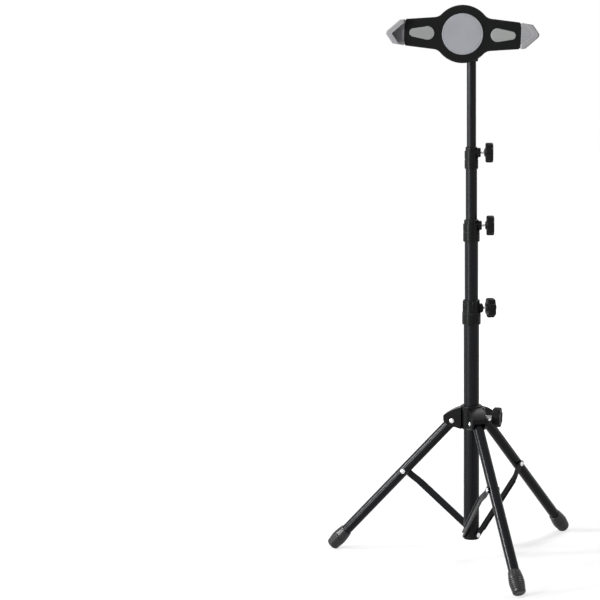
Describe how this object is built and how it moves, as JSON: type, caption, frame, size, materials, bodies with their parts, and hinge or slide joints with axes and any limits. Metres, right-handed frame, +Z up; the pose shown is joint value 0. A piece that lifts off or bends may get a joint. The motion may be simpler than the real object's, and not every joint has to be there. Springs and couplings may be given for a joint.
{
  "type": "tablet floor stand",
  "caption": "Floor stand with a folding tripod, a telescoping mast with clamp collars, and a tilting and turning holder whose sprung corner grips close on a tablet.",
  "frame": {"origin": "on the floor, under the mast's axis", "axes": "+Z up along the mast, the holder faces -Y, the clamp knobs of the mast point towards +X"},
  "size_m": [0.3527, 0.3623, 0.779],
  "materials": {
    "black_tube": "satin",
    "black_plastic": "satin",
    "black_rubber": "matte",
    "grey_rubber": "matte",
    "steel": "satin",
    "brass": "satin",
    "pale_plastic": "matte"
  },
  "bodies": {
    "base": {"base_tube": "black_tube", "base_plug": "black_plastic", "base_rivets": "steel", "collar_lower": "black_plastic", "nut_lower": "brass"},
    "lower_clamp": {"knob_lower": "black_plastic", "screw_lower": "steel"},
    "front_brace": {"brace_front": "black_tube"},
    "front_leg": {"leg_front": "black_tube", "foot_front": "black_rubber", "brace_rivet_front": "steel"},
    "runner": {"hub": "black_plastic", "hub_rivets": "steel", "hub_nut": "brass"},
    "runner_clamp": {"hub_knob": "black_plastic", "hub_screw": "steel"},
    "right_leg": {"leg_right": "black_tube", "foot_right": "black_rubber", "brace_rivet_right": "steel"},
    "right_brace": {"brace_right": "black_tube"},
    "left_leg": {"leg_left": "black_tube", "foot_left": "black_rubber", "brace_rivet_left": "steel"},
    "left_brace": {"brace_left": "black_tube"},
    "second_tube": {"mast_tube_2": "black_tube", "guide_2": "pale_plastic", "collar_middle": "black_plastic", "nut_middle": "brass"},
    "middle_clamp": {"knob_middle": "black_plastic", "screw_middle": "steel"},
    "third_tube": {"mast_tube_3": "black_tube", "guide_3": "pale_plastic", "collar_upper": "black_plastic", "nut_upper": "brass"},
    "upper_clamp": {"knob_upper": "black_plastic", "screw_upper": "steel"},
    "fourth_tube": {"top_tube": "black_tube", "guide_top": "pale_plastic"},
    "head": {"head_stem": "black_plastic", "tilt_bolt": "steel", "tilt_nut": "steel", "tilt_washer": "steel"},
    "turntable": {"swivel_bracket": "black_plastic", "swivel_pin": "steel", "swivel_ring": "pale_plastic"},
    "holder": {"holder_back": "black_plastic", "holder_front": "black_plastic", "holder_screws": "steel", "center_pad": "grey_rubber", "pad_left": "grey_rubber", "pad_right": "grey_rubber", "spring_left": "steel", "spring_right": "steel"},
    "left_slider": {"arm_left": "black_plastic", "grip_left": "grey_rubber"},
    "right_slider": {"arm_right": "black_plastic", "grip_right": "grey_rubber"}
  },
  "joints": [
    {"name": "tripod_fold", "type": "hinge", "parent": "base", "child": "front_brace", "pos_m": [0, 0, 0.034], "axis": [-0.9511, -0.309, 0], "range_deg": [0, 31.3]},
    {"name": "front_leg_pivot", "type": "hinge", "parent": "front_brace", "child": "front_leg", "pos_m": [0.03037, -0.09348, 0.12048], "axis": [0.9511, 0.309, 0], "range_deg": [0, 67.2]},
    {"name": "runner_pivot", "type": "hinge", "parent": "front_leg", "child": "runner", "pos_m": [0.00803, -0.02473, 0.198], "axis": [-0.9511, -0.309, 0], "range_deg": [0, 35.9]},
    {"name": "right_leg_pivot", "type": "hinge", "parent": "runner", "child": "right_leg", "pos_m": [0.0174, 0.01932, 0.198], "axis": [-0.7431, 0.6691, 0], "range_deg": [0, 35.9]},
    {"name": "right_brace_pivot", "type": "hinge", "parent": "right_leg", "child": "right_brace", "pos_m": [0.06577, 0.07304, 0.12048], "axis": [0.7431, -0.6691, 0], "range_deg": [0, 67.2]},
    {"name": "left_leg_pivot", "type": "hinge", "parent": "runner", "child": "left_leg", "pos_m": [-0.02543, 0.00541, 0.198], "axis": [-0.2079, -0.9781, 0], "range_deg": [0, 35.9]},
    {"name": "left_brace_pivot", "type": "hinge", "parent": "left_leg", "child": "left_brace", "pos_m": [-0.09614, 0.02044, 0.12048], "axis": [0.2079, 0.9781, 0], "range_deg": [0, 67.2]},
    {"name": "runner_knob_turn", "type": "hinge", "parent": "runner", "child": "runner_clamp", "pos_m": [0, 0, 0.204], "axis": [0.9781, -0.2079, 0], "range_deg": [0, 360]},
    {"name": "lower_knob_turn", "type": "hinge", "parent": "base", "child": "lower_clamp", "pos_m": [0, 0, 0.3575], "axis": [0.9703, 0.2419, 0], "range_deg": [0, 360]},
    {"name": "second_tube_slide", "type": "slide", "parent": "base", "child": "second_tube", "axis": [0, 0, 1], "range_m": [-0.08, 0.2]},
    {"name": "middle_knob_turn", "type": "hinge", "parent": "second_tube", "child": "middle_clamp", "pos_m": [0, 0, 0.4743], "axis": [1, 0, 0], "range_deg": [0, 360]},
    {"name": "third_tube_slide", "type": "slide", "parent": "second_tube", "child": "third_tube", "axis": [0, 0, 1], "range_m": [-0.068, 0.225]},
    {"name": "upper_knob_turn", "type": "hinge", "parent": "third_tube", "child": "upper_clamp", "pos_m": [0, 0, 0.5758], "axis": [1, 0, 0], "range_deg": [0, 360]},
    {"name": "fourth_tube_slide", "type": "slide", "parent": "third_tube", "child": "fourth_tube", "axis": [0, 0, 1], "range_m": [-0.108, 0.2]},
    {"name": "head_pan", "type": "hinge", "parent": "fourth_tube", "child": "head", "pos_m": [0, 0, 0.7085], "axis": [0, 0, 1], "range_deg": [-150, 150]},
    {"name": "head_tilt", "type": "hinge", "parent": "head", "child": "turntable", "pos_m": [0, 0, 0.7395], "axis": [-1, 0, 0], "range_deg": [-5, 90]},
    {"name": "holder_turn", "type": "hinge", "parent": "turntable", "child": "holder", "pos_m": [-0.012, -0.02, 0.7395], "axis": [0, -1, 0], "continuous": true},
    {"name": "left_slider_pull", "type": "slide", "parent": "holder", "child": "left_slider", "axis": [-0.9993, 0, 0.0384], "range_m": [0, 0.048], "stiffness_N_per_m": 150, "springref_m": -0.03, "deforming": ["spring_left"]},
    {"name": "right_slider_pull", "type": "slide", "parent": "holder", "child": "right_slider", "axis": [0.9993, 0, -0.0384], "range_m": [0, 0.048], "stiffness_N_per_m": 150, "springref_m": -0.03, "deforming": ["spring_right"]}
  ],
  "couplings": [
    {"joint": "front_leg_pivot", "follows": "tripod_fold", "ratio": 2.1423},
    {"joint": "runner_pivot", "follows": "tripod_fold", "ratio": 1.1423},
    {"joint": "right_leg_pivot", "follows": "tripod_fold", "ratio": 1.1423},
    {"joint": "right_brace_pivot", "follows": "tripod_fold", "ratio": 2.1423},
    {"joint": "left_leg_pivot", "follows": "tripod_fold", "ratio": 1.1423},
    {"joint": "left_brace_pivot", "follows": "tripod_fold", "ratio": 2.1423}
  ]
}
